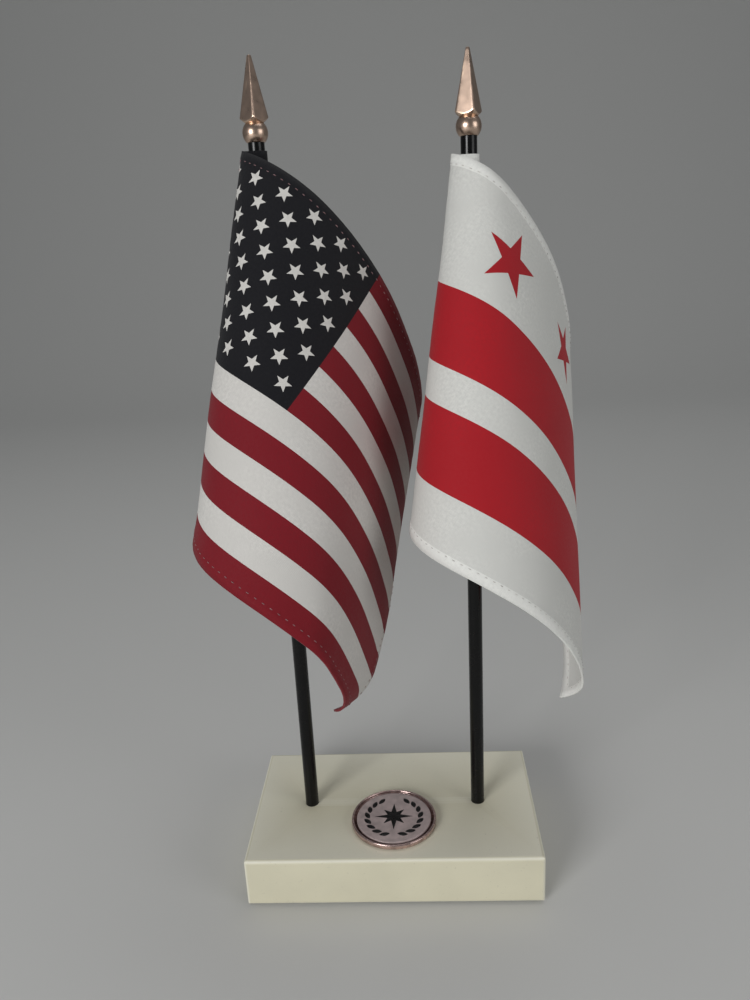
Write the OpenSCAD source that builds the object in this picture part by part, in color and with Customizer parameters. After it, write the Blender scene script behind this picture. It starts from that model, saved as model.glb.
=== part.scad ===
// Desk flag stand: a painted block with a medallion, two staffs that stand in its
// blind holes, a spear finial on each staff, and a small draped flag on each staff.
// Millimetres. +X is to the right, -Y is to the front, +Z is up.
// The origin is the centre of the underside, on the surface that the stand rests on.

/* [Base block] */
// Length of the block, left to right
base_w = 101.6; // [90:0.1:160]
// Depth of the block, front to back
base_d = 61; // [50:0.5:90]
// Height of the block without its pad
base_h = 18; // [17:0.5:30]
// Radius of the softened edges
edge_r = 1.2; // [0.4:0.1:3]

/* [Felt pad] */
// Thickness of the pad under the block
pad_h = 1; // [0.5:0.1:3]
// Distance from the block's side to the pad's edge
pad_inset = 2; // [1.5:0.5:10]

/* [Medallion] */
// Outside diameter of the rim
medal_d = 30; // [20:0.5:36]
// Height of the rim above its adhesive disc
medal_h = 1.7; // [1.2:0.1:3]
// Wall thickness of the rim
medal_wall = 0.8; // [0.5:0.1:1.5]
// Thickness of the rim's floor
medal_floor = 0.6; // [0.3:0.1:0.9]
// Groove between the rim and the face
medal_groove = 1; // [0.5:0.1:2]
// Height of the face's dome at its middle
dome_h = 0.3; // [0.1:0.05:0.6]
// Height of the relief above the dome
relief_h = 0.25; // [0.1:0.05:0.5]
// Diameter of the adhesive disc
glue_d = 24; // [10:1:28]
// Thickness of the adhesive disc
glue_h = 0.4; // [0.2:0.1:1]
// Distance from the staffs' line forward to the medallion's middle
medal_forward = 11; // [10:0.5:14]

/* [Staffs] */
// Diameter of a staff
staff_d = 4.76; // [3:0.01:6]
// Length of a staff
staff_l = 244.5; // [200:0.5:300]
// Distance between the two staffs
staff_gap = 61; // [50:0.5:80]
// Depth of the left staff's hole
left_hole = 14.2; // [10:0.1:16]
// Depth of the right staff's hole
right_hole = 15.6; // [10:0.1:16]
// Radial clearance between a staff and its hole
hole_fit = 0.05; // [0.01:0.01:0.1]
// Chamfer on a staff's foot
foot_chamfer = 0.5; // [0.2:0.1:1]

/* [Finials] */
// Diameter of the ball under the spear
ball_d = 7.4; // [7:0.1:10]
// Depth of the ball's socket, which the staff's top fills
socket_l = 4; // [2:0.5:5]
// Width of the spear across its flats
spear_w = 6.4; // [4:0.1:8]
// Height of the spear's tip above the middles of its lower edges
spear_l = 17; // [12:0.5:25]
// Depth of those middles below the ball's top
spear_sink = 0.7; // [0:0.1:1.5]
// Radius of the spear's blunt tip
tip_r = 0.45; // [0.3:0.05:1]
// How far the left spear is turned about its staff
left_spear_turn = 51; // [0:1:90]
// How far the right spear is turned about its staff
right_spear_turn = 64; // [0:1:90]

/* [Flags] */
// Length of the left flag from its sleeve to the fly
left_flag_l = 145; // [120:0.5:155]
// Length of the right flag from its sleeve to the fly
right_flag_l = 152.4; // [120:0.1:155]
// Height of a flag at the hoist
flag_h = 101.6; // [80:0.1:110]
// Thickness of the cloth solid
cloth_t = 0.5; // [0.4:0.1:0.8]
// Radial clearance between a sleeve and its staff
sleeve_fit = 0.06; // [0.01:0.01:0.1]
// Wall thickness of a sleeve
sleeve_t = 0.5; // [0.4:0.05:0.8]
// Height of the left flag's top above the rest plane
left_flag_top = 243; // [200:0.5:245]
// Height of the right flag's top above the rest plane
right_flag_top = 239; // [200:0.5:242]

/* [Stitching] */
// Distance from a flag's edge to its hem seam
hem_w = 3; // [2:0.5:6]
// Distance from the hoist to the sleeve's seam
sleeve_seam = 5; // [4:0.5:8]
// Thickness of a seam's thread, which shows on both sides
thread_t = 0.8; // [0.7:0.1:1.2]

/* [Hidden] */
$fn = 64;

base_top = pad_h + base_h;
medal_z = base_top + glue_h;
face_r = medal_d / 2 - medal_wall - medal_groove;
ball_r = ball_d / 2;
// The ball is cut flat below its middle, where the staff enters it.
ball_cut = 2.6;
left_x = -staff_gap / 2;
right_x = staff_gap / 2;
sleeve_r = staff_d / 2 + sleeve_fit;
// The cloth leaves its sleeve from the sleeve's outside.
cloth_r = sleeve_r + sleeve_t;

// How each flag drapes, from the hoist to the fly. Each row is one fold line: its place on
// the top edge, its place on the bottom edge, and how fast the cloth turns there, in degrees
// to the next row, positive to the left as seen from above.
left_folds = [
    [0, 0, 62],
    [4, 62, 110],
    [35, 101, 60],
    [90, 112, 12],
    [100, 140, 2],
    [118, 175, 60],
    [150, 210, 100],
];
right_folds = [
    [0, 0, 25],
    [8, 50, 140],
    [25, 90, 50],
    [75, 125, 15],
    [100, 145, 20],
    [115, 180, 60],
    [160, 220, 120],
];
// Heading of each flag where it leaves its staff, in degrees from +X.
left_heading = -140;
right_heading = -140;
// How each flag's lower fly corner is rolled back: where the roll starts on the bottom edge,
// where it starts on the fly edge, and its radius.
left_roll = [122, 82, 12];
right_roll = [138, 72, 14];

// Fold lines that each drape is divided into, and the sheet's own mesh.
fold_count = 96;
fly_steps = 50;
hoist_steps = 13;
seam_steps = 40;

// ---------- draped sheet ----------

// A facet is the flat piece of cloth between two fold lines:
// [direction of the fly, direction down the hoist, place of the sheet's top corner].
function on_facet(facet, u, v) = facet[2] + u * facet[0] + v * facet[1];

function unit(v) = v / norm(v);

function turned(v, axis, angle) =
    v * cos(angle) + cross(axis, v) * sin(angle) + axis * (axis * v) * (1 - cos(angle));

// The next facet: the cloth turns about the line from the top edge to the bottom edge.
function folded(facet, top, bottom, angle) =
    let(
        pivot = on_facet(facet, top, 0),
        axis = unit(pivot - on_facet(facet, bottom, flag_h)),
        fly = turned(facet[0], axis, angle),
        down = turned(facet[1], axis, angle)
    )
    [fly, down, pivot - top * fly];

// One column of the fold table, spread evenly over all the fold lines.
function spread(folds, column) =
    let(rows = [for (i = [0:len(folds) - 1]) [i, folds[i][column]]], last = len(folds) - 1)
    [for (i = [0:fold_count]) lookup(i * last / fold_count, rows)];

function first_facet(x, top_z, heading) =
    [
        [cos(heading), sin(heading), 0],
        [0, 0, -1],
        [x + cloth_r * cos(heading), cloth_r * sin(heading), top_z]
    ];

// A drape is [fold tops, fold bottoms, facets, length of the flag, corner roll].
function drape(folds, x, top_z, heading, length, roll) =
    let(
        tops = spread(folds, 0),
        bottoms = spread(folds, 1),
        turns = spread(folds, 2) * (len(folds) - 1) / fold_count
    )
    [
        tops,
        bottoms,
        [
            for (
                i = 0, facet = first_facet(x, top_z, heading);
                i < fold_count;
                i = i + 1, facet = folded(facet, tops[i], bottoms[i], turns[i])
            ) facet
        ],
        length,
        roll
    ];

// The facet that holds the point u along the fly and v down the hoist.
function facet_at(drape, u, v) =
    let(passed = [
        for (i = [1:fold_count - 1])
            if (drape[0][i] + (drape[1][i] - drape[0][i]) * v / flag_h <= u) 1
    ])
    drape[2][len(passed)];

// A point on the sheet, moved off its middle by side millimetres. Past the straight line where
// the corner roll starts, the sheet follows the roll.
function cloth_point(drape, u, v, side) =
    let(
        facet = facet_at(drape, u, v),
        inward = unit(cross(facet[0], facet[1])),
        roll = drape[4],
        away = unit([flag_h - roll[1], drape[3] - roll[0]]),
        past = max(0, [u - roll[0], v - flag_h] * away),
        angle = past / roll[2] * 180 / PI,
        across = away[0] * facet[0] + away[1] * facet[1]
    )
    on_facet(facet, u - past * away[0], v - past * away[1])
    + roll[2] * (sin(angle) * across + (1 - cos(angle)) * inward)
    + side * (cos(angle) * inward - sin(angle) * across);

// Two triangles for each cell of a grid with the given number of columns.
function cell(a, b, c, d) = [[a, b, c], [a, c, d]];

module draped_sheet(drape) {
    columns = hoist_steps + 1;
    layer = (fly_steps + 1) * columns;
    points = [
        for (side = [-cloth_t / 2, cloth_t / 2], i = [0:fly_steps], j = [0:hoist_steps])
            cloth_point(drape, i * drape[3] / fly_steps, j * flag_h / hoist_steps, side)
    ];
    back = [
        for (i = [0:fly_steps - 1], j = [0:hoist_steps - 1])
            let(a = i * columns + j)
            each cell(a, a + columns, a + columns + 1, a + 1)
    ];
    front = [for (face = back) [layer + face[2], layer + face[1], layer + face[0]]];
    top_rim = [
        for (i = [0:fly_steps - 1])
            let(a = i * columns, b = a + columns)
            each cell(a, layer + a, layer + b, b)
    ];
    bottom_rim = [
        for (i = [0:fly_steps - 1])
            let(a = i * columns + hoist_steps, b = a + columns)
            each cell(b, layer + b, layer + a, a)
    ];
    hoist_rim = [
        for (j = [0:hoist_steps - 1])
            each cell(j + 1, layer + j + 1, layer + j, j)
    ];
    fly_rim = [
        for (j = [0:hoist_steps - 1])
            let(a = fly_steps * columns + j)
            each cell(a, layer + a, layer + a + 1, a + 1)
    ];
    polyhedron(points, concat(back, front, top_rim, bottom_rim, hoist_rim, fly_rim));
}

// A square thread through the cloth along the straight line from one place on the flag to another.
module seam(drape, from, to) {
    half = thread_t / 2;
    along = unit(to - from);
    across = [-along[1], along[0]] * half;
    corners = [[-1, -1], [1, -1], [1, 1], [-1, 1]];
    points = [
        for (i = [0:seam_steps], corner = corners)
            let(place = from + (to - from) * i / seam_steps + across * corner[0])
            cloth_point(drape, place[0], place[1], corner[1] * half)
    ];
    sides = [
        for (i = [0:seam_steps - 1], k = [0:3])
            let(a = 4 * i + k, b = 4 * i + (k + 1) % 4)
            each cell(a, b, b + 4, a + 4)
    ];
    last = 4 * seam_steps;
    polyhedron(points, concat(sides, [[3, 2, 1, 0]], [[last, last + 1, last + 2, last + 3]]));
}

module seams(drape) {
    hem_end = drape[3] - hem_w;
    hem_low = flag_h - hem_w;
    // The long seams stop this far from the upright ones, so that no two threads cross.
    stop = 2;
    // The upright seams stop this far from the flag's edge.
    margin = 1;
    seam(drape, [sleeve_seam, margin], [sleeve_seam, flag_h - margin]);
    seam(drape, [sleeve_seam + stop, hem_w], [hem_end - stop, hem_w]);
    seam(drape, [sleeve_seam + stop, hem_low], [hem_end - stop, hem_low]);
    seam(drape, [hem_end, margin], [hem_end, flag_h - margin]);
}

// ---------- hard parts ----------

module rounded_rect(w, d, r) {
    square([w - 2 * r, d], center = true);
    square([w, d - 2 * r], center = true);
    for (x = [-1, 1], y = [-1, 1])
        translate([x * (w / 2 - r), y * (d / 2 - r)])
            circle(r);
}

// A block on z = 0 whose edges are rounded along all three axes.
module softened_block(w, d, h, r) {
    intersection() {
        linear_extrude(h)
            rounded_rect(w, d, r);
        translate([0, d / 2, h / 2])
            rotate([90, 0, 0])
                linear_extrude(d)
                    rounded_rect(w, h, r);
        translate([-w / 2, 0, h / 2])
            rotate([90, 0, 90])
                linear_extrude(w)
                    rounded_rect(d, h, r);
    }
}

module base_block() {
    color("ivory")
        difference() {
            translate([0, 0, pad_h])
                softened_block(base_w, base_d, base_h, edge_r);
            staff_hole(left_x, left_hole);
            staff_hole(right_x, right_hole);
        }
}

module staff_hole(x, depth) {
    translate([x, 0, base_top - depth])
        cylinder(d = staff_d + 2 * hole_fit, h = depth + 1);
}

module felt_pad() {
    color("darkolivegreen")
        linear_extrude(pad_h)
            rounded_rect(base_w - 2 * pad_inset, base_d - 2 * pad_inset, edge_r);
}

module medallion_adhesive() {
    color("gainsboro")
        translate([0, -medal_forward, base_top])
            cylinder(d = glue_d, h = glue_h);
}

module medallion_rim() {
    color("rosybrown")
        translate([0, -medal_forward, medal_z])
            difference() {
                cylinder(d = medal_d, h = medal_h);
                translate([0, 0, medal_floor])
                    cylinder(r = medal_d / 2 - medal_wall, h = medal_h);
            }
}

module leaf(length, width) {
    // Two equal circles overlap in a leaf of this length and width.
    r = (length * length + width * width) / (4 * width);
    intersection() {
        translate([0, r - width / 2])
            circle(r);
        translate([0, width / 2 - r])
            circle(r);
    }
}

// A plain emblem: an eight-pointed compass star inside an open wreath of leaves.
module emblem() {
    long_point = 0.52 * face_r;
    short_point = 0.75 * long_point;
    between_points = 0.36 * long_point;
    wreath_r = 0.72 * face_r;
    wreath_gap = 28;
    leaf_spacing = 19;
    leaves = 8;
    leaf_l = 0.3 * face_r;
    leaf_w = 0.14 * face_r;
    leaf_tilt = 28;
    polygon([
        for (i = [0:15])
            let(r = i % 4 == 0 ? long_point : i % 2 == 0 ? short_point : between_points)
            r * [sin(22.5 * i), cos(22.5 * i)]
    ]);
    for (side = [-1, 1], step = [0:leaves - 1])
        rotate(side * (wreath_gap + leaf_spacing * step))
            translate([0, wreath_r])
                rotate(side * leaf_tilt)
                    leaf(leaf_l, leaf_w);
}

module medallion_face() {
    // Height of the face's edge above the rim's floor.
    edge_h = medal_h - medal_floor - dome_h;
    dome_steps = 6;
    dome = [
        for (i = [dome_steps:-1:0])
            let(out = i / dome_steps)
            [face_r * out, edge_h + dome_h * (1 - out * out)]
    ];
    color("darkgray")
        translate([0, -medal_forward, medal_z + medal_floor]) {
            rotate_extrude()
                polygon(concat([[0, 0], [face_r, 0]], dome));
            linear_extrude(edge_h + dome_h + relief_h)
                emblem();
        }
}

module staff(x, hole) {
    r = staff_d / 2;
    color("black")
        translate([x, 0, base_top - hole])
            rotate_extrude()
                polygon([
                    [0, 0], [r - foot_chamfer, 0], [r, foot_chamfer],
                    [r, staff_l], [0, staff_l]
                ]);
}

// The ball's flat underside is at z = 0, and the spear stands on the ball.
module finial(x, hole, spear_turn) {
    flats = spear_w / 2;
    // The spear's underside is a cone, which meets the middle of each flat at this height.
    skirt_z = ball_cut + ball_r - spear_sink;
    skirt_depth = 1.2;
    taper = (flats - tip_r) / spear_l;
    foot_z = skirt_z - flats;
    foot_w = flats + taper * flats;
    // A small ball blunts the tip.
    tip_ball_r = 1.3 * tip_r;
    tip_ball_z = skirt_z + spear_l - 1.4 * tip_r;
    color("wheat")
        translate([x, 0, base_top - hole + staff_l - socket_l]) {
            difference() {
                intersection() {
                    translate([0, 0, ball_cut])
                        sphere(ball_r);
                    translate([-ball_r, -ball_r, 0])
                        cube([ball_d, ball_d, 2 * ball_d]);
                }
                translate([0, 0, -1])
                    cylinder(d = staff_d, h = socket_l + 1);
            }
            intersection() {
                translate([0, 0, foot_z])
                    rotate(spear_turn + 45)
                        cylinder(
                            h = spear_l + flats - tip_r,
                            r1 = foot_w * sqrt(2),
                            r2 = tip_r * sqrt(2),
                            $fn = 4
                        );
                translate([0, 0, skirt_z - skirt_depth])
                    cylinder(
                        h = spear_l + flats,
                        r1 = flats - skirt_depth,
                        r2 = spear_l + 2 * flats - skirt_depth
                    );
            }
            translate([0, 0, tip_ball_z])
                sphere(tip_ball_r);
        }
}

module sleeve(x, top_z) {
    color("white")
        translate([x, 0, top_z - flag_h])
            difference() {
                cylinder(r = cloth_r, h = flag_h);
                translate([0, 0, -1])
                    cylinder(r = sleeve_r, h = flag_h + 2);
            }
}

left_drape = drape(left_folds, left_x, left_flag_top, left_heading, left_flag_l, left_roll);
right_drape = drape(right_folds, right_x, right_flag_top, right_heading, right_flag_l, right_roll);

module left_staff() {
    staff(left_x, left_hole);
}

module right_staff() {
    staff(right_x, right_hole);
}

module left_finial() {
    finial(left_x, left_hole, left_spear_turn);
}

module right_finial() {
    finial(right_x, right_hole, right_spear_turn);
}

module left_flag_sleeve() {
    sleeve(left_x, left_flag_top);
}

module right_flag_sleeve() {
    sleeve(right_x, right_flag_top);
}

module left_flag_cloth() {
    color("firebrick")
        draped_sheet(left_drape);
}

module right_flag_cloth() {
    color("gainsboro")
        draped_sheet(right_drape);
}

module left_flag_thread() {
    color("white")
        seams(left_drape);
}

module right_flag_thread() {
    color("white")
        seams(right_drape);
}

base_block();
felt_pad();
medallion_adhesive();
medallion_rim();
medallion_face();
left_staff();
left_finial();
left_flag_sleeve();
left_flag_cloth();
left_flag_thread();
right_staff();
right_finial();
right_flag_sleeve();
right_flag_cloth();
right_flag_thread();
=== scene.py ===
"""The looks of the desk flag stand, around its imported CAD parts.

Blender lengths are metres. Names in millimetres are turned into metres with MM where they are used.
"""
import math

import bmesh
import bpy
import numpy as np
from mathutils import Matrix, Vector, noise
from mathutils.geometry import delaunay_2d_cdt


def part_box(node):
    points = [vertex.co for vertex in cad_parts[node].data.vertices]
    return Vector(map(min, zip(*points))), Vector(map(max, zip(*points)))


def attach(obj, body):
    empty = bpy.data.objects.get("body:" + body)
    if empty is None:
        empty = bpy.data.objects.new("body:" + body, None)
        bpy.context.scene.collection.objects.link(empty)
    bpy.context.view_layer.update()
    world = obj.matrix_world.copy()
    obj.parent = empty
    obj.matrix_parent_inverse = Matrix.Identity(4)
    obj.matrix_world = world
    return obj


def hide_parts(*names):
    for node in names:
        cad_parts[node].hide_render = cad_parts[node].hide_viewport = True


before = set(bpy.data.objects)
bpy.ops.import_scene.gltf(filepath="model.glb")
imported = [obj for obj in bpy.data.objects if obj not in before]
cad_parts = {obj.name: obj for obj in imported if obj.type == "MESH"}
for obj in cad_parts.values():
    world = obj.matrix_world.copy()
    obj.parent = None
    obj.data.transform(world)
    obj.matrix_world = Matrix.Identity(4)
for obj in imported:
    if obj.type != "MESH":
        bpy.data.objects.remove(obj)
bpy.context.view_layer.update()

MM = 0.001
TAU = 2 * math.pi

# The flat cloth, in millimetres: u runs along the fly from the hoist, v runs down the hoist.
LEFT_L = 145
RIGHT_L = 152.4
FLAG_H = 101.6
CLOTH_HALF = 0.13
HEM_HALF = 0.3
HEM_W = 3
SLEEVE_SEAM = 5
STITCH_PITCH = 2.4
STITCH_L = 0.9
STITCH_W = 0.2
GRID_STEP = 2
THREAD_PITCH = 0.32
# The width over which a hem's thickness begins.
HEM_STEP = 0.5
# The cloth's slow waves: their height and length. Then the puckers at the stitches: their
# height, their spacing and how far they reach from the seam.
SLOW_H = 0.35
SLOW_L = 26
PUCKER_H = 0.09
PUCKER_GAP = 5.3
PUCKER_REACH = 2.6
# Where the waves have grown to their full height, from the hoist.
CALM_L = 12
SLEEVE_R = 2.94
STAFF_R = 2.38
SLEEVE_INNER_R = STAFF_R + 0.08

# The drapes. Each row is one fold line: its place on the top edge, its place on the bottom
# edge, and how fast the cloth turns there, in degrees to the next row.
FOLD_COUNT = 480
LEFT_FOLDS = [
    [0, 0, 62],
    [4, 62, 110],
    [35, 101, 60],
    [90, 112, 12],
    [100, 140, 2],
    [118, 175, 60],
    [150, 210, 100],
]
RIGHT_FOLDS = [
    [0, 0, 25],
    [8, 50, 140],
    [25, 90, 50],
    [75, 125, 15],
    [100, 145, 20],
    [115, 180, 60],
    [160, 220, 120],
]
LEFT_HEADING = -140
RIGHT_HEADING = -140
# Where the lower fly corner starts to roll back on the bottom edge and on the fly edge, and
# the roll's radius.
LEFT_ROLL = [122, 82, 12]
RIGHT_ROLL = [138, 72, 14]

# The finials, in millimetres, from the ball's flat underside up.
BALL_R = 3.7
BALL_Z = 2.6
SPEAR_FLATS = 3.2
SPEAR_SINK = 0.7
SPEAR_L = 17
TIP_R = 0.45
LEFT_SPEAR_TURN = 51
RIGHT_SPEAR_TURN = 64

# The spear's root, inside the ball, and the height of its blunt tip.
ROOT_R = 1.3
ROOT_DEPTH = 1.5
TIP_H = 0.6 * TIP_R

# The medallion, in millimetres.
RIM_WALL = 0.8
RIM_FLOOR = 0.6
DOME_H = 0.3
FACE_R = 13.2
RELIEF_H = 0.25
# How deep the emblem's pieces sink into the dome.
SUNK = 0.05
# The compass star: its long points, its short points and the places between them.
LONG_POINT = 0.52 * FACE_R
SHORT_POINT = 0.75 * LONG_POINT
BETWEEN_POINTS = 0.36 * LONG_POINT
# The wreath of leaves on each side, with its angles in degrees from the top.
WREATH_R = 0.72 * FACE_R
WREATH_GAP = 28
LEAF_SPACING = 19
LEAF_TILT = 28
LEAVES = 8
LEAF_L = 0.3 * FACE_R
LEAF_W = 0.14 * FACE_R

# Colours of the printed cloth and of the finishes (sRGB, 0 to 1).
NAVY = (0.075, 0.075, 0.095)
LEFT_RED = (0.50, 0.085, 0.13)
LEFT_WHITE = (0.86, 0.85, 0.83)
RIGHT_RED = (0.70, 0.11, 0.15)
RIGHT_WHITE = (0.88, 0.88, 0.86)
HEM_WHITE = (0.96, 0.96, 0.94)
CREAM = (0.87, 0.85, 0.75)
# A lighter cream for the painted highlight along the base's sharp edges.
EDGE_HIGHLIGHT_CREAM = (0.93, 0.92, 0.85)
BLACK = (0.022, 0.022, 0.023)
CHAMPAGNE = (0.82, 0.715, 0.64)
ROSE_METAL = (0.84, 0.73, 0.71)
PALE_METAL = (0.80, 0.73, 0.72)
DARK_ENAMEL = (0.11, 0.10, 0.10)
FELT_GREEN = (0.16, 0.20, 0.14)
GLUE_WHITE = (0.80, 0.79, 0.75)
LEFT_THREAD = (0.62, 0.46, 0.47)
RIGHT_THREAD = (0.82, 0.80, 0.78)
FLOOR_GREY = (0.80, 0.80, 0.79)


# ---------- materials ----------

def linear(colour):
    """An sRGB colour as linear RGBA."""
    def channel(c):
        return c / 12.92 if c <= 0.04045 else ((c + 0.055) / 1.055) ** 2.4
    return (*[channel(c) for c in colour], 1)


class Shader:
    """A new Principled material, with short calls for the nodes that feed it."""

    def __init__(self, name, colour, roughness, **values):
        self.material = bpy.data.materials.new(name)
        self.material.use_nodes = True
        self.material.diffuse_color = linear(colour)
        self.nodes = self.material.node_tree.nodes
        self.links = self.material.node_tree.links
        self.bsdf = self.nodes["Principled BSDF"]
        self.bsdf.inputs["Base Color"].default_value = linear(colour)
        self.bsdf.inputs["Roughness"].default_value = roughness
        for key, value in values.items():
            self.bsdf.inputs[key.replace("_", " ")].default_value = value

    def node(self, kind, **settings):
        made = self.nodes.new(kind)
        for key, value in settings.items():
            setattr(made, key, value)
        return made

    def feed(self, socket, value):
        """Gives a socket a value: a socket, an sRGB colour or a number."""
        if isinstance(value, tuple):
            socket.default_value = linear(value)
        elif isinstance(value, (int, float)):
            socket.default_value = value
        else:
            self.links.new(value, socket)

    def place(self):
        """The point on the piece, in metres in the frame."""
        return self.node("ShaderNodeTexCoord").outputs["Object"]

    def flat_place(self):
        """The point on the flat cloth, in millimetres."""
        return self.node("ShaderNodeAttribute", attribute_name="flat").outputs["Vector"]

    def noise(self, place, scale, detail=3, roughness=0.5):
        made = self.node("ShaderNodeTexNoise")
        for key, value in (("Scale", scale), ("Detail", detail), ("Roughness", roughness)):
            made.inputs[key].default_value = value
        self.feed(made.inputs["Vector"], place)
        return made.outputs["Fac"]

    def waves(self, place, scale, direction, distortion=0):
        made = self.node("ShaderNodeTexWave", bands_direction=direction)
        made.inputs["Scale"].default_value = scale
        made.inputs["Distortion"].default_value = distortion
        self.feed(made.inputs["Vector"], place)
        return made.outputs["Fac"]

    def span(self, value, low, high, new_low, new_high):
        """value, from low..high to new_low..new_high, and held inside it."""
        made = self.node("ShaderNodeMapRange")
        numbers = (low, high, new_low, new_high)
        for key, number in zip(("From Min", "From Max", "To Min", "To Max"), numbers):
            made.inputs[key].default_value = number
        self.feed(made.inputs["Value"], value)
        return made.outputs["Result"]

    def math(self, operation, a, b):
        made = self.node("ShaderNodeMath", operation=operation)
        self.feed(made.inputs[0], a)
        self.feed(made.inputs[1], b)
        return made.outputs[0]

    def mix(self, factor, a, b):
        """Colour a where factor is 0 and colour b where it is 1."""
        made = self.node("ShaderNodeMix", data_type="RGBA")
        self.feed(made.inputs["Factor"], factor)
        first, second = [socket for socket in made.inputs if socket.type == "RGBA"]
        self.feed(first, a)
        self.feed(second, b)
        return next(socket for socket in made.outputs if socket.type == "RGBA")

    def edge_highlight_mask(self):
        """1 on sharp outer edges and 0 elsewhere: where a painted highlight is laid on the edges."""
        pointiness = self.node("ShaderNodeNewGeometry").outputs["Pointiness"]
        return self.span(pointiness, 0.52, 0.62, 0, 1)

    def colour(self, value):
        self.feed(self.bsdf.inputs["Base Color"], value)

    def clouded(self, value, low, high, colour, share):
        """The colour, darkened to a share of itself where value is at low or under it."""
        self.colour(self.mix(self.span(value, low, high, 0, 1), darker(colour, share), colour))

    def rough(self, value):
        self.feed(self.bsdf.inputs["Roughness"], value)

    def bump(self, height, distance, strength=1):
        made = self.node("ShaderNodeBump")
        made.inputs["Distance"].default_value = distance
        made.inputs["Strength"].default_value = strength
        self.feed(made.inputs["Height"], height)
        self.links.new(made.outputs["Normal"], self.bsdf.inputs["Normal"])


def darker(colour, share):
    return tuple(c * share for c in colour)


def cloth(name, colour):
    """Plain woven printed cloth. Its weave follows the flat cloth, whose coordinates are millimetres."""
    shader = Shader(name, colour, 0.75, Sheen_Weight=0.08, Sheen_Roughness=0.5, Specular_IOR_Level=0.18)
    flat = shader.flat_place()
    # A wave texture at scale 1 has a band every TAU / 20 units.
    scale = TAU / 20 / THREAD_PITCH
    warp = shader.waves(flat, scale, "X")
    weft = shader.waves(flat, scale, "Y")
    weave = shader.math("MULTIPLY", warp, weft)
    slub = shader.noise(flat, 1.1, 4)
    print_fade = shader.noise(flat, 0.06, 3)
    uneven = shader.span(slub, 0.3, 0.7, -0.25, 0.25)
    tone = shader.math("ADD", uneven, shader.span(weave, 0, 1, 0.15, 0.85))
    base = shader.mix(tone, darker(colour, 0.9), tuple(min(1, c * 1.04) for c in colour))
    faded = shader.mix(shader.span(print_fade, 0.35, 0.65, 0, 1), base, darker(colour, 0.93))
    shader.colour(faded)
    shader.rough(shader.span(slub, 0.3, 0.7, 0.65, 0.8))
    shader.bump(shader.math("ADD", weave, shader.math("MULTIPLY", slub, 0.6)), 0.05 * MM, 0.6)
    return shader.material


def thread_material(name, colour):
    """Twisted sewing thread."""
    shader = Shader(name, colour, 0.6, Sheen_Weight=0.3)
    place = shader.place()
    twist = shader.waves(place, 900, "DIAGONAL", 1)
    shader.colour(shader.mix(twist, darker(colour, 0.78), colour))
    shader.bump(twist, 0.05 * MM)
    return shader.material


def paint_material():
    """Cream satin paint brushed on wood, with a painted highlight that makes its sharp edges lighter, and
    a few fine specks.
    """
    shader = Shader("cream_paint", CREAM, 0.45, Coat_Weight=0.12, Coat_Roughness=0.35)
    place = shader.place()
    cloudy = shader.noise(place, 45, 4)
    specks = shader.span(shader.noise(place, 900, 2), 0.70, 0.74, 0, 1)
    body = shader.mix(shader.span(cloudy, 0.35, 0.65, 0, 1), darker(CREAM, 0.965), CREAM)
    # Painted highlight: the sharp edges are mixed towards a lighter cream.
    edge_lit = shader.mix(shader.edge_highlight_mask(), body, EDGE_HIGHLIGHT_CREAM)
    shader.colour(shader.mix(shader.math("MULTIPLY", specks, 0.25), edge_lit, darker(CREAM, 0.8)))
    stretched = shader.node("ShaderNodeMapping")
    stretched.inputs["Scale"].default_value = (0.12, 1, 1)
    shader.feed(stretched.inputs["Vector"], place)
    brush = shader.noise(stretched.outputs["Vector"], 1400, 4, 0.6)
    orange_peel = shader.noise(place, 700, 2)
    shader.rough(shader.span(brush, 0.3, 0.7, 0.40, 0.52))
    shader.bump(shader.math("ADD", brush, orange_peel), 0.03 * MM, 0.7)
    return shader.material


def staff_material():
    """Glossy black, with faint handling marks."""
    shader = Shader(
        "black_gloss", BLACK, 0.26, Coat_Weight=0.08, Coat_Roughness=0.16, Specular_IOR_Level=0.25
    )
    place = shader.place()
    marks = shader.noise(place, 260, 5, 0.65)
    shader.rough(shader.span(marks, 0.35, 0.75, 0.16, 0.36))
    shader.colour(shader.mix(shader.span(marks, 0.4, 0.8, 0, 1), BLACK, (0.035, 0.035, 0.037)))
    shader.bump(marks, 0.01 * MM, 0.5)
    return shader.material


def finial_material():
    """A metallised champagne finish, a little darker in random cloudy patches, with a painted highlight
    that makes its edges brighter.
    """
    shader = Shader("champagne_metal", CHAMPAGNE, 0.26, Metallic=1.0)
    place = shader.place()
    cloudy = shader.noise(place, 420, 4)
    base = shader.mix(shader.span(cloudy, 0.35, 0.65, 0, 1), darker(CHAMPAGNE, 0.93), CHAMPAGNE)
    # Painted highlight: the sharp edges are mixed towards a brighter champagne.
    shader.colour(shader.mix(shader.edge_highlight_mask(), base, (0.93, 0.82, 0.72)))
    shader.rough(shader.span(cloudy, 0.3, 0.7, 0.26, 0.33))
    shader.bump(shader.noise(place, 1800, 2), 0.005 * MM, 0.4)
    return shader.material


def rim_material():
    """Rose-coloured metal, slightly uneven."""
    shader = Shader("rose_metal", ROSE_METAL, 0.26, Metallic=0.9)
    place = shader.place()
    cloudy = shader.noise(place, 600, 4)
    shader.clouded(cloudy, 0.35, 0.65, ROSE_METAL, 0.8)
    shader.rough(shader.span(cloudy, 0.3, 0.7, 0.14, 0.3))
    shader.bump(cloudy, 0.008 * MM, 0.5)
    return shader.material


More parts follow.
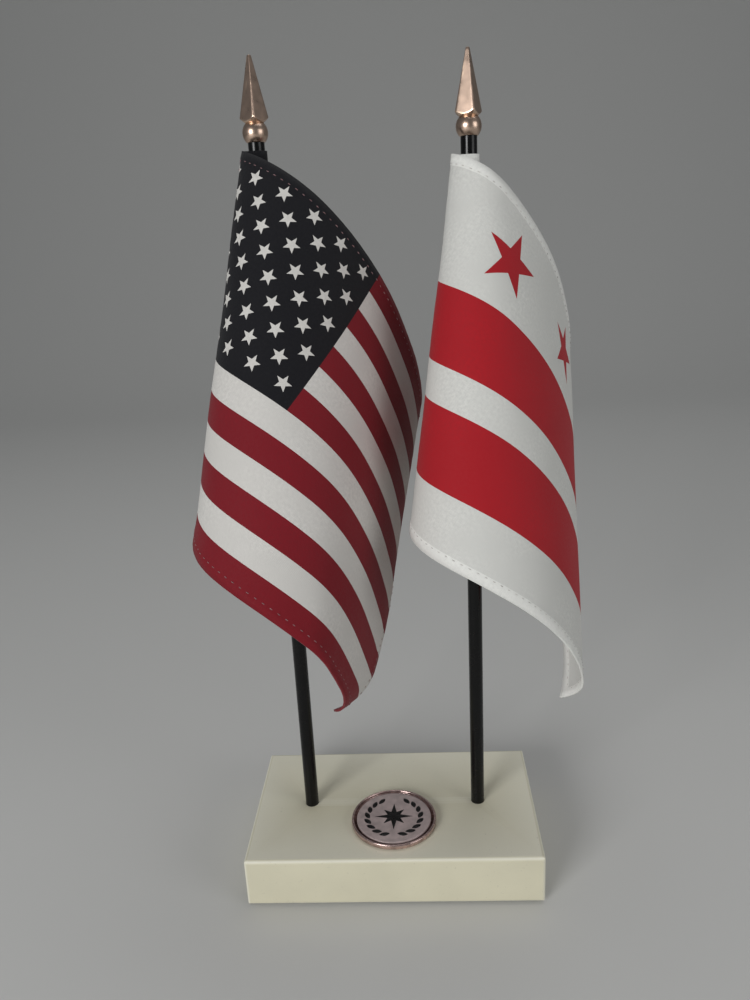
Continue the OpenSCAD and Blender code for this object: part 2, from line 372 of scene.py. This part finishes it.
def field_material():
    """The medallion's pale satin field, finely stippled."""
    shader = Shader("satin_metal", PALE_METAL, 0.42, Metallic=0.35)
    place = shader.place()
    stipple = shader.noise(place, 5200, 1)
    cloudy = shader.noise(place, 300, 4)
    shader.clouded(cloudy, 0.35, 0.65, PALE_METAL, 0.88)
    shader.rough(shader.span(cloudy, 0.3, 0.7, 0.36, 0.5))
    shader.bump(stipple, 0.02 * MM, 0.6)
    return shader.material


def enamel_material():
    """The dark finish of the medallion's emblem."""
    shader = Shader("dark_enamel", DARK_ENAMEL, 0.3, Metallic=0.4)
    place = shader.place()
    cloudy = shader.noise(place, 700, 4)
    shader.clouded(cloudy, 0.3, 0.7, DARK_ENAMEL, 0.6)
    shader.rough(shader.span(cloudy, 0.3, 0.7, 0.24, 0.4))
    shader.bump(cloudy, 0.01 * MM, 0.6)
    return shader.material


def felt_material():
    shader = Shader("felt", FELT_GREEN, 0.95, Sheen_Weight=0.6, Sheen_Roughness=0.6)
    fibres = shader.noise(shader.place(), 2600, 5, 0.7)
    shader.clouded(fibres, 0.3, 0.7, FELT_GREEN, 0.6)
    shader.bump(fibres, 0.2 * MM)
    return shader.material


def glue_material():
    shader = Shader("foam_tape", GLUE_WHITE, 0.8)
    cells = shader.noise(shader.place(), 2200, 3)
    shader.colour(shader.mix(cells, darker(GLUE_WHITE, 0.85), GLUE_WHITE))
    shader.bump(cells, 0.05 * MM)
    return shader.material


def floor_material():
    return Shader("pale_floor", FLOOR_GREY, 0.85).material


# ---------- mesh helpers ----------

def new_object(name, vertices, faces, materials, smooth=True):
    """A mesh object. Where there are several materials, the caller sets which face has which."""
    mesh = bpy.data.meshes.new(name)
    mesh.from_pydata([tuple(v) for v in vertices], [], faces)
    for material in materials:
        mesh.materials.append(material)
    mesh.update()
    made = bpy.data.objects.new(name, mesh)
    bpy.context.scene.collection.objects.link(made)
    if smooth:
        mesh.polygons.foreach_set("use_smooth", [True] * len(mesh.polygons))
    return made


def apply_modifiers(piece):
    """Keeps the piece's shape with its modifiers, as plain mesh."""
    graph = bpy.context.evaluated_depsgraph_get()
    shaped = bpy.data.meshes.new_from_object(piece.evaluated_get(graph))
    piece.modifiers.clear()
    piece.data = shaped
    return piece


def bevel(piece, width, angle):
    """Rounds the edges that bend by more than the angle, in degrees."""
    made = piece.modifiers.new("bevel", "BEVEL")
    made.width = width
    made.segments = 2
    made.limit_method = "ANGLE"
    made.angle_limit = math.radians(angle)
    return apply_modifiers(piece)


def join(name, pieces):
    """The pieces as one object, with their material slots kept."""
    with bpy.context.temp_override(active_object=pieces[0], selected_editable_objects=pieces):
        bpy.ops.object.join()
    pieces[0].name = name
    pieces[0].data.name = name
    return pieces[0]


def lathe(name, profile, material, steps, centre):
    """A closed turned solid. The profile is [radius, height] pairs, from the axis and back to it."""
    rings = []
    vertices = []
    for radius, height in profile:
        if radius == 0:
            rings.append([len(vertices)] * steps)
            vertices.append(centre + Vector((0, 0, height)))
            continue
        rings.append(range(len(vertices), len(vertices) + steps))
        for k in range(steps):
            angle = TAU * k / steps
            spot = Vector((radius * math.cos(angle), radius * math.sin(angle), height))
            vertices.append(centre + spot)
    faces = []
    for low, high in zip(rings, rings[1:]):
        for k in range(steps):
            n = (k + 1) % steps
            corners = [low[k], low[n], high[n], high[k]]
            faces.append(list(dict.fromkeys(corners)))
    return new_object(name, vertices, faces, [material])


def arc(centre, radius, start, end, steps):
    """Profile points along an arc, with angles in degrees."""
    angles = [math.radians(start + (end - start) * i / steps) for i in range(steps + 1)]
    return [[centre[0] + radius * math.cos(a), centre[1] + radius * math.sin(a)] for a in angles]


# ---------- draped cloth ----------

class Drape:
    """A cloth folded about straight lines, hoist to fly, as in the CAD source."""

    def __init__(self, folds, heading, staff_x, top_z, length, roll):
        self.length = length
        self.roll = roll
        knots = range(len(folds))
        even = np.linspace(0, len(folds) - 1, FOLD_COUNT + 1)
        tops, bottoms, turns = [np.interp(even, knots, [row[c] for row in folds]) for c in range(3)]
        turns = np.radians(turns) * (len(folds) - 1) / FOLD_COUNT
        angle = math.radians(heading)
        fly = Vector((math.cos(angle), math.sin(angle), 0))
        down = Vector((0, 0, -1))
        corner = Vector((staff_x, 0, top_z)) + SLEEVE_R * fly
        self.facets = [(fly, down, corner)]
        for top, bottom, turn in list(zip(tops.tolist(), bottoms.tolist(), turns.tolist()))[1:-1]:
            fly, down, corner = self.facets[-1]
            pivot = corner + top * fly
            foot = corner + bottom * fly + FLAG_H * down
            turned = Matrix.Rotation(turn, 3, pivot - foot)
            fly, down = turned @ fly, turned @ down
            self.facets.append((fly, down, pivot - top * fly))
        self.tops, self.bottoms = tops[1:-1], bottoms[1:-1]
        self.fly, self.down, self.corner = [
            np.array([facet[k] for facet in self.facets]) for k in range(3)
        ]

    def place(self, u, v, lift):
        """Points on the sheet, in millimetres, lifted off its middle towards its front by lift."""
        u, v = np.atleast_1d(u).astype(float), np.atleast_1d(v).astype(float)
        lines = self.tops + (self.bottoms - self.tops) * (v[:, None] / FLAG_H)
        passed = (lines <= u[:, None]).sum(1)
        fly, down = self.fly[passed], self.down[passed]
        inward = np.cross(fly, down)
        start, end, radius = self.roll
        away = np.array([FLAG_H - end, self.length - start])
        away /= np.linalg.norm(away)
        past = np.maximum(0, (u - start) * away[0] + (v - FLAG_H) * away[1])[:, None]
        across = away[0] * fly + away[1] * down
        sine, cosine = np.sin(past / radius), np.cos(past / radius)
        points = self.corner[passed] + u[:, None] * fly + v[:, None] * down - past * across
        points += radius * (sine * across + (1 - cosine) * inward)
        return points + np.broadcast_to(lift, u.shape)[:, None] * (cosine * inward - sine * across)


def star_outline(u, v, radius, inner=0.382):
    """A five-pointed star, one point up."""
    return [
        (u + (radius if k % 2 == 0 else inner * radius) * math.sin(TAU * k / 10),
         v - (radius if k % 2 == 0 else inner * radius) * math.cos(TAU * k / 10))
        for k in range(10)
    ]


def inside(point, outline):
    """True if the point is inside the closed outline."""
    x, y = point
    crossings = 0
    for (x1, y1), (x2, y2) in zip(outline, outline[1:] + outline[:1]):
        if (y1 > y) != (y2 > y) and x < x1 + (x2 - x1) * (y - y1) / (y2 - y1):
            crossings += 1
    return crossings % 2 == 1


STRIPE = FLAG_H / 13
CANTON_L = 61
CANTON_H = 7 * STRIPE
CANTON_STARS = [
    star_outline(CANTON_L * c / 12, CANTON_H * r / 10, 0.32 * STRIPE, 0.42)
    for r in range(1, 10) for c in range(1, 12) if (c + r) % 2 == 0
]
# Where each band of the right flag ends down the hoist: at tenths of the flag's height, with
# the whole print one hem too low.
BANDS = [HEM_W + FLAG_H * share for share in (0.3, 0.5, 0.6, 0.8)] + [FLAG_H]
BIG_STAR_V = 18.5
BIG_STAR_R = 10.2
BIG_STARS = [star_outline(RIGHT_L * share, BIG_STAR_V, BIG_STAR_R) for share in (0.25, 0.5, 0.75)]


def left_field(u, v):
    """0 for white, 1 for red and 2 for navy, without the stars."""
    if u < CANTON_L and v < CANTON_H:
        return 2
    return 1 if int(v / STRIPE) % 2 == 0 else 0


def right_field(u, v):
    """0 for white, 1 for red and 2 for a bright hem, without the stars."""
    if min(v, FLAG_H - v, RIGHT_L - u) < HEM_W:
        return 2
    return sum(v > end for end in BANDS) % 2


def left_lines():
    """The printed lines of the left flag, each as its two ends."""
    ends = [(LEFT_L, STRIPE * k) for k in range(1, 13)]
    starts = [(CANTON_L if k < 7 else 0, STRIPE * k) for k in range(1, 13)]
    canton = [((CANTON_L, 0), (CANTON_L, CANTON_H)), ((0, CANTON_H), (CANTON_L, CANTON_H))]
    return list(zip(starts, ends)) + canton


def right_lines():
    """The printed lines of the right flag."""
    return [((0, end), (RIGHT_L, end)) for end in BANDS[:-1]]


def hem_lines(length):
    """The inner edges of the three hems."""
    return [
        ((0, HEM_W), (length, HEM_W)),
        ((0, FLAG_H - HEM_W), (length, FLAG_H - HEM_W)),
        ((length - HEM_W, 0), (length - HEM_W, FLAG_H)),
    ]


def flat_mesh(length, lines, outlines):
    """Triangles of the flat cloth, with an edge along every printed line and star."""
    across, along = int(length / GRID_STEP), int(FLAG_H / GRID_STEP)
    points = [
        (length * i / across, FLAG_H * j / along)
        for i in range(across + 1) for j in range(along + 1)
    ]
    edges = []

    def draw(start, end):
        """An edge, in short steps so that no triangle is long."""
        steps = max(1, round(math.dist(start, end) / GRID_STEP))
        first = len(points)
        for k in range(steps + 1):
            share = k / steps
            points.append(tuple(a + share * (b - a) for a, b in zip(start, end)))
        edges.extend((first + k, first + k + 1) for k in range(steps))

    corners = [(0, 0), (length, 0), (length, FLAG_H), (0, FLAG_H)]
    for start, end in lines + list(zip(corners, corners[1:] + corners[:1])):
        draw(start, end)
    for outline in outlines:
        for start, end in zip(outline, outline[1:] + outline[:1]):
            draw(start, end)
    vertices, _, faces, *_ = delaunay_2d_cdt([Vector(p) for p in points], edges, [], 0, 0.02)
    return np.array([v[:] for v in vertices]), [list(f) for f in faces]


def cloth_half(length, u, v):
    """Half the cloth's thickness: its hems are folded over, and so is its sleeve edge."""
    edge = np.minimum(np.minimum(v, FLAG_H - v), length - u)
    hem = np.clip((HEM_W + HEM_STEP / 2 - edge) / HEM_STEP, 0, 1)
    sleeve = np.clip((SLEEVE_SEAM + HEM_STEP / 2 - u) / HEM_STEP, 0, 1)
    return CLOTH_HALF + (HEM_HALF - CLOTH_HALF) * np.maximum(hem, sleeve)


def ripple(length, u, v, seed):
    """Small unevenness of soft cloth: slow waves all over, and puckers that the hem stitches pull."""
    edge = np.minimum(np.minimum(v, FLAG_H - v), length - u)
    slow = np.array([noise.noise(Vector((a / SLOW_L, b / SLOW_L, seed))) for a, b in zip(u, v)])
    along = np.where(length - u <= np.minimum(v, FLAG_H - v), v, u)
    beat = np.sin(TAU * along / PUCKER_GAP + 2.1 * np.sin(along / 7))
    pucker = beat * np.exp(-((edge - HEM_W) / PUCKER_REACH) ** 2)
    return (SLOW_H * slow + PUCKER_H * pucker) * np.clip(u / CALM_L, 0, 1)


def flag_cloth(name, drape, field, lines, stars, materials, seed):
    """The cloth as a closed sheet whose printed colours are its faces' materials."""
    flat, faces = flat_mesh(drape.length, lines + hem_lines(drape.length), stars)
    u, v = flat[:, 0], flat[:, 1]
    half, wave = cloth_half(drape.length, u, v), ripple(drape.length, u, v, seed)
    layer = len(flat)
    points = np.concatenate([drape.place(u, v, wave + half), drape.place(u, v, wave - half)]) * MM
    centres = [flat[face].mean(0) for face in faces]
    boxes = [(np.min(star, 0), np.max(star, 0), star) for star in stars]
    printed = []
    for centre in centres:
        starred = any((low <= centre).all() and (centre <= high).all() and inside(centre, star)
                      for low, high, star in boxes)
        printed.append(star_material(field) if starred else field(*centre))
    back = [[layer + k for k in reversed(face)] for face in faces]
    used = {}
    for index, face in enumerate(faces):
        for a, b in zip(face, face[1:] + face[:1]):
            used.setdefault(frozenset((a, b)), []).append((a, b, index))
    rim = []
    rim_materials = []
    for uses in used.values():
        if len(uses) == 1:
            a, b, index = uses[0]
            rim.append([b, a, layer + a, layer + b])
            rim_materials.append(printed[index])
    made = new_object(name, points, faces + back + rim, materials)
    made.data.polygons.foreach_set("material_index", printed + printed + rim_materials)
    mark_flat(made, [(*point, 0) for point in flat] * 2)
    return made


def mark_flat(made, places):
    """Stores each vertex's point on the flat cloth, for the cloth's materials."""
    attribute = made.data.attributes.new("flat", "FLOAT_VECTOR", "POINT")
    attribute.data.foreach_set("vector", np.array(places, float).ravel())


def star_material(field):
    """Stars are white on the left flag and red on the right one."""
    return 0 if field is left_field else 1


def flag_sleeve(name, heading, staff_x, top_z, field, ends, materials):
    """The hoist's tube round its staff: a closed cloth tube, drawn out a little towards the cloth."""
    turns = 64
    levels = sorted({0, HEM_W, FLAG_H - HEM_W, FLAG_H, *ends} | {FLAG_H * k / 50 for k in range(51)})
    points, places = [], []
    for side in (0, 1):
        for v in levels:
            for k in range(turns):
                angle = TAU * k / turns
                off = (angle - math.radians(heading) + math.pi) % TAU - math.pi
                uneven = noise.noise(Vector((3 * math.cos(angle), v / 9, 5)))
                swell = 0.7 * math.exp(-((off / 0.42) ** 2)) + 0.05 * uneven
                radius = SLEEVE_INNER_R if side else SLEEVE_R + max(0, swell)
                points.append(((staff_x + radius * math.cos(angle)) * MM, radius * math.sin(angle) * MM,
                               (top_z - v) * MM))
                places.append((radius * angle, v, 0))
    rows = len(levels)
    faces, kinds = [], []
    for side in (0, 1):
        for i in range(rows - 1):
            kind = field(1, (levels[i] + levels[i + 1]) / 2)
            for k in range(turns):
                a = (side * rows + i) * turns + k
                b = (side * rows + i) * turns + (k + 1) % turns
                quad = [a, a + turns, b + turns, b]
                faces.append(quad if side == 0 else quad[::-1])
                kinds.append(kind)
    for i in (0, rows - 1):
        for k in range(turns):
            a, b = i * turns + k, i * turns + (k + 1) % turns
            c, d = b + rows * turns, a + rows * turns
            faces.append([a, b, c, d] if i == 0 else [d, c, b, a])
            kinds.append(field(1, levels[i] + (0.1 if i == 0 else -0.1)))
    made = new_object(name, points, faces, materials)
    made.data.polygons.foreach_set("material_index", kinds)
    mark_flat(made, places)
    return made


def stitches(name, drape, seed, material):
    """Small lockstitches along the hems and the sleeve, on both faces."""
    inset = HEM_W - 0.5
    hem_end = drape.length - inset
    runs = [
        ((SLEEVE_SEAM, 1.5), (SLEEVE_SEAM, FLAG_H - 1.5)),
        ((SLEEVE_SEAM + 2, inset), (hem_end, inset)),
        ((SLEEVE_SEAM + 2, FLAG_H - inset), (hem_end, FLAG_H - inset)),
        ((hem_end, inset), (hem_end, FLAG_H - inset)),
    ]
    rings, around = 5, 6
    points, faces = [], []
    for start, end in runs:
        start, end = Vector(start), Vector(end)
        along = (end - start).normalized()
        across = Vector((-along.y, along.x))
        for step in range(int((end - start).length / STITCH_PITCH)):
            middle = start + along * STITCH_PITCH * (step + 0.5)
            for side in (1, -1):
                first = len(points)
                u, v, lift = [], [], []
                for i in range(rings):
                    t = 2 * i / (rings - 1) - 1
                    fat = STITCH_W / 2 * math.sqrt(max(0.08, 1 - t * t))
                    for k in range(around):
                        angle = TAU * k / around
                        spot = middle + along * (t * STITCH_L / 2) + across * (fat * math.cos(angle))
                        u.append(spot.x)
                        v.append(spot.y)
                        lift.append(fat * math.sin(angle) + 0.02 - 0.1 * t * t)
                u, v = np.array(u), np.array(v)
                half = cloth_half(drape.length, u, v)
                height = ripple(drape.length, u, v, seed) + side * (half + np.array(lift))
                points += list(drape.place(u, v, height) * MM)
                for i in range(rings - 1):
                    for k in range(around):
                        a, b = first + i * around + k, first + i * around + (k + 1) % around
                        quad = [a, b, b + around, a + around]
                        faces.append(quad if side > 0 else quad[::-1])
                last = first + (rings - 1) * around
                ends = [[first + k for k in reversed(range(around))], [last + k for k in range(around)]]
                faces += ends if side > 0 else [face[::-1] for face in ends]
    return new_object(name, points, faces, [material])


# ---------- hard parts ----------

def spear(centre, turn, material):
    """A four-sided spear with soft ridges. Each face's lower edge is an arc, lowest at its middle."""
    around, levels = 96, 28
    skirt = BALL_Z + BALL_R - SPEAR_SINK
    taper = (SPEAR_FLATS - TIP_R) / SPEAR_L
    top = skirt + SPEAR_L

    def reach(angle):
        """How far a square of half-width 1 with soft corners reaches at this angle."""
        sharpness = 14
        return (abs(math.cos(angle)) ** sharpness + abs(math.sin(angle)) ** sharpness) ** (-1 / sharpness)

    rings = [[(ROOT_R, skirt - ROOT_DEPTH)] * around]
    edge = []
    for k in range(around):
        r = reach(TAU * k / around)
        out = SPEAR_FLATS * (1 + taper) * r / (1 + taper * r)
        edge.append((out, skirt + out - SPEAR_FLATS))
    rings.append(edge)
    for level in range(1, levels + 1):
        share = level / levels
        ring = []
        for k in range(around):
            z = edge[k][1] + share * (top - edge[k][1])
            ring.append(((SPEAR_FLATS - taper * (z - skirt)) * reach(TAU * k / around), z))
        rings.append(ring)
    for dome in (0.5, 0.8):
        radius = TIP_R * math.sqrt(1 - dome * dome)
        rings.append([(radius * reach(TAU * k / around) ** 0.5, top + dome * TIP_H)
                      for k in range(around)])
    points, faces = [], []
    for ring in rings:
        for k, (radius, z) in enumerate(ring):
            angle = TAU * k / around + math.radians(turn)
            points.append((radius * math.cos(angle), radius * math.sin(angle), z))
    for i in range(len(rings) - 1):
        for k in range(around):
            a, b = i * around + k, i * around + (k + 1) % around
            faces.append([a, b, b + around, a + around])
    points.append((0, 0, top + TIP_H))
    last = (len(rings) - 1) * around
    faces += [[last + k, last + (k + 1) % around, len(points) - 1] for k in range(around)]
    faces.append(list(reversed(range(around))))
    made = new_object("spear", [Vector(p) * MM + centre for p in points], faces, [material])
    return bevel(made, 0.14 * MM, 40)


def ball(centre, material):
    """The ball, open below for its staff, with a rounded lip."""
    low = -math.degrees(math.asin(BALL_Z / BALL_R))
    profile = arc((0, BALL_Z), BALL_R, low + 3, 90, 40)
    profile[-1][0] = 0
    lip = [[STAFF_R + 0.02, 0.9], [STAFF_R + 0.02, 0.12], [STAFF_R + 0.1, 0.0]]
    outline = [[0, 0.9]] + lip + profile
    return lathe("ball", [[r * MM, z * MM] for r, z in outline], material, 64, centre)


def finial(name, node, staff_x, turn, material):
    """A spear on its ball, in the place of the CAD finial."""
    low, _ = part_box(node)
    centre = Vector((staff_x, 0, low.z))
    return join(name, [spear(centre, turn, material), ball(centre, material)])


def rim(material):
    """The medallion's rim, with a rounded top and a flat floor under the face."""
    low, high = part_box("medallion_rim")
    centre = Vector(((low.x + high.x) / 2, (low.y + high.y) / 2, low.z))
    radius, height = (high.x - low.x) / 2, high.z - low.z
    wall, floor_h = RIM_WALL * MM, RIM_FLOOR * MM
    soft = wall / 2
    profile = [[radius - 0.1 * MM, 0], [radius, 0.15 * MM]]
    profile += arc((radius - soft, height - soft), soft, 0, 180, 12)
    profile += [[radius - wall, floor_h], [0, floor_h], [0, 0]]
    return lathe("medallion_rim_look", [[0, 0]] + profile[:-1], material, 160, centre)


def leaf_outline(length, width, steps=8):
    """A pointed leaf along +X, centred on the origin, from two equal arcs."""
    radius = (length * length + width * width) / (4 * width)
    half = math.asin(length / 2 / radius)
    upper = [(radius * math.sin(a), radius * math.cos(a) - radius + width / 2)
             for a in [half - 2 * half * i / steps for i in range(steps + 1)]]
    return upper + [(-x, -y) for x, y in upper[1:-1]]


def star_point(index, dome, centre, material):
    """One ridged point of the compass star, from the face's middle."""
    angle = TAU * index / 8
    reach = LONG_POINT if index % 2 == 0 else SHORT_POINT
    tip = (reach * math.sin(angle), reach * math.cos(angle))
    sides = [(BETWEEN_POINTS * math.sin(a), BETWEEN_POINTS * math.cos(a))
             for a in (angle - TAU / 16, angle + TAU / 16)]
    base = [(*p, dome(*p) - SUNK) for p in ((0, 0), sides[0], tip, sides[1])]
    crown = (0.0, 0.0, dome(0, 0) + RELIEF_H)
    ridge_end = (*tip, dome(*tip) + 0.02)
    raised = [(*p, dome(*p) + 0.04) for p in sides]
    points = [*base, crown, raised[0], ridge_end, raised[1]]
    faces = [
        [4, 6, 5], [4, 7, 6], [5, 6, 2, 1], [7, 3, 2, 6],
        [0, 1, 2, 3], [0, 4, 5, 1], [0, 3, 7, 4],
    ]
    return new_object("point", [Vector(p) * MM + centre for p in points], faces, [material], False)


def leaf(side, step, dome, centre, material):
    """One leaf of the wreath. side is 1 or -1, and step counts from the gap at the top."""
    spin = side * math.radians(WREATH_GAP + LEAF_SPACING * step)
    tilt = side * math.radians(LEAF_TILT)
    middle = Vector((0, WREATH_R))
    middle.rotate(Matrix.Rotation(spin, 2))
    points = []
    for x, y in leaf_outline(LEAF_L, LEAF_W):
        spot = Vector((x, y))
        spot.rotate(Matrix.Rotation(spin + tilt, 2))
        points.append(spot + middle)
    count = len(points)
    shrink = [middle + 0.72 * (p - middle) for p in points]
    crown = dome(*middle) + RELIEF_H
    mesh = [(*p, dome(*p) - SUNK) for p in points] + [(*p, crown - 0.06) for p in shrink]
    mesh.append((*middle, crown))
    faces = [[k, (k + 1) % count, count + (k + 1) % count, count + k] for k in range(count)]
    faces += [[count + k, count + (k + 1) % count, 2 * count] for k in range(count)]
    faces.append(list(reversed(range(count))))
    return new_object("leaf", [Vector(p) * MM + centre for p in mesh], faces, [material])


def medallion_face(field, enamel):
    """A low dome with a raised compass star inside an open wreath of leaves."""
    low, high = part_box("medallion_face")
    centre = Vector(((low.x + high.x) / 2, (low.y + high.y) / 2, low.z))
    edge_h = high.z - low.z - RELIEF_H * MM - DOME_H * MM

    def dome(x, y):
        """The dome's height in millimetres, above the rim's floor."""
        out = math.hypot(x, y) / FACE_R
        return edge_h / MM + DOME_H * (1 - out * out)

    steps = 24
    chamfer = 0.12
    profile = [[0, 0], [FACE_R, 0], [FACE_R, dome(FACE_R, 0) - chamfer]]
    profile += [[FACE_R * i / steps - (chamfer if i == steps else 0), dome(FACE_R * i / steps, 0)]
                for i in range(steps, -1, -1)]
    pieces = [lathe("disc", [[r * MM, z * MM] for r, z in profile], field, 128, centre)]
    pieces += [star_point(index, dome, centre, enamel) for index in range(8)]
    pieces += [leaf(side, step, dome, centre, enamel) for side in (-1, 1) for step in range(LEAVES)]
    made = join("medallion_face_look", pieces)
    tidy_normals(made)
    return made


def tidy_normals(piece):
    """Turns every face outwards."""
    mesh = bmesh.new()
    mesh.from_mesh(piece.data)
    bmesh.ops.recalc_face_normals(mesh, faces=mesh.faces)
    mesh.to_mesh(piece.data)
    mesh.free()


# ---------- stage, light and camera ----------

def backdrop():
    """A pale floor that curves up into a pale wall."""
    width, front, back, bend, height = 6, -3, 1.6, 0.8, 2.6
    outline = [(front, 0), (back - bend, 0)]
    outline += [(back - bend + bend * math.sin(math.radians(a)), bend - bend * math.cos(math.radians(a)))
                for a in range(6, 91, 6)]
    outline.append((back, height))
    points = [(x, y, z) for y, z in outline for x in (-width / 2, width / 2)]
    faces = [[2 * i, 2 * i + 1, 2 * i + 3, 2 * i + 2] for i in range(len(outline) - 1)]
    made = new_object("floor", points, faces, [floor_material()])


def area_light(name, place, aim, size, power):
    """A square soft light at a place, turned to its aim. Sizes are metres, and power is watts."""
    data = bpy.data.lights.new(name, "AREA")
    data.shape = "SQUARE"
    data.size = size
    data.energy = power
    made = bpy.data.objects.new(name, data)
    made.location = place
    made.rotation_euler = (Vector(aim) - Vector(place)).to_track_quat("-Z", "Y").to_euler()
    bpy.context.scene.collection.objects.link(made)


def lights():
    """A dim studio world and three soft lights."""
    world = bpy.data.worlds.new("studio")
    world.use_nodes = True
    background = world.node_tree.nodes["Background"]
    background.inputs["Color"].default_value = (0.93, 0.96, 1.0, 1)
    background.inputs["Strength"].default_value = 0.16
    bpy.context.scene.world = world
    area_light("key", (-0.55, -0.85, 0.4), (0, 0, 0.12), 0.4, 6.1)
    area_light("top", (0.2, 0.1, 1.2), (0, 0, 0.1), 0.9, 2.8)
    area_light("fill", (0.9, -0.6, 0.4), (0, 0, 0.12), 0.6, 2.4)


def camera():
    """The camera that shows the stand from just above its flags, slightly to the right."""
    data = bpy.data.cameras.new("camera")
    data.sensor_fit = "VERTICAL"
    data.sensor_height = 36
    data.lens = 30.18
    data.clip_start = 0.01
    made = bpy.data.objects.new("camera", data)
    yaw, pitch, roll = math.radians(-3.07), math.radians(17.9), math.radians(-2.94)
    heading = Matrix.Rotation(-yaw, 4, "Z")
    tilt = Matrix.Rotation(math.pi / 2 - pitch, 4, "X")
    lean = Matrix.Rotation(roll, 4, "Z")
    made.matrix_world = Matrix.Translation((0.0124, -0.26, 0.2201)) @ (heading @ tilt @ lean)
    bpy.context.scene.collection.objects.link(made)
    bpy.context.scene.camera = made


# ---------- assembly ----------

def dress(node, material):
    """Gives a carried-over CAD node a better material."""
    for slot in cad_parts[node].material_slots:
        slot.material = material


def flag(side, length, folds, heading, roll, field, lines, ends, stars, materials, thread, seed):
    """A flag's cloth, sleeve and stitches, riding on its body."""
    sleeve_node = f"{side}_flag_sleeve"
    low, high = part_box(sleeve_node)
    staff_x, top_z = (low.x + high.x) / 2 / MM, high.z / MM
    drape = Drape(folds, heading, staff_x, top_z, length, roll)
    body = f"{side}_flag"
    sewn = stitches(f"{side}_stitches", drape, seed, thread)
    tube = flag_sleeve(f"{side}_sleeve", heading, staff_x, top_z, field, ends, materials)
    sheet = flag_cloth(f"{side}_cloth", drape, field, lines, stars, materials, seed)
    for piece, node, slot in (
        (sewn, f"{side}_flag_thread", "thread"),
        (tube, sleeve_node, f"{side}_cloth"),
        (sheet, f"{side}_flag_cloth", f"{side}_cloth"),
    ):
        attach(piece, body)
        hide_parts(node)


camera()
lights()
backdrop()
bpy.context.scene.view_settings.view_transform = "Standard"

dress("base_block", paint_material())
dress("felt_pad", felt_material())
dress("medallion_adhesive", glue_material())
black = staff_material()
dress("left_staff", black)
dress("right_staff", black)

gold = finial_material()
for side, turn in (("left", LEFT_SPEAR_TURN), ("right", RIGHT_SPEAR_TURN)):
    low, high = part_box(f"{side}_staff")
    piece = finial(f"{side}_finial_look", f"{side}_finial", (low.x + high.x) / 2, turn, gold)
    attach(piece, f"{side}_staff")
    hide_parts(f"{side}_finial")

ring = rim(rim_material())
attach(ring, "base")
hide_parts("medallion_rim")
face = medallion_face(field_material(), enamel_material())
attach(face, "base")
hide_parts("medallion_face")

left_cloths = [
    cloth("left_white", LEFT_WHITE),
    cloth("left_red", LEFT_RED),
    cloth("left_navy", NAVY),
]
right_cloths = [
    cloth("right_white", RIGHT_WHITE),
    cloth("right_red", RIGHT_RED),
    cloth("right_hem", HEM_WHITE),
]
stripe_ends = [STRIPE * k for k in range(7, 13)]
flag("left", LEFT_L, LEFT_FOLDS, LEFT_HEADING, LEFT_ROLL, left_field, left_lines(), stripe_ends,
     CANTON_STARS, left_cloths, thread_material("left_thread", LEFT_THREAD), 1.0)
flag("right", RIGHT_L, RIGHT_FOLDS, RIGHT_HEADING, RIGHT_ROLL, right_field, right_lines(), BANDS[:-1],
     BIG_STARS, right_cloths, thread_material("right_thread", RIGHT_THREAD), 4.0)
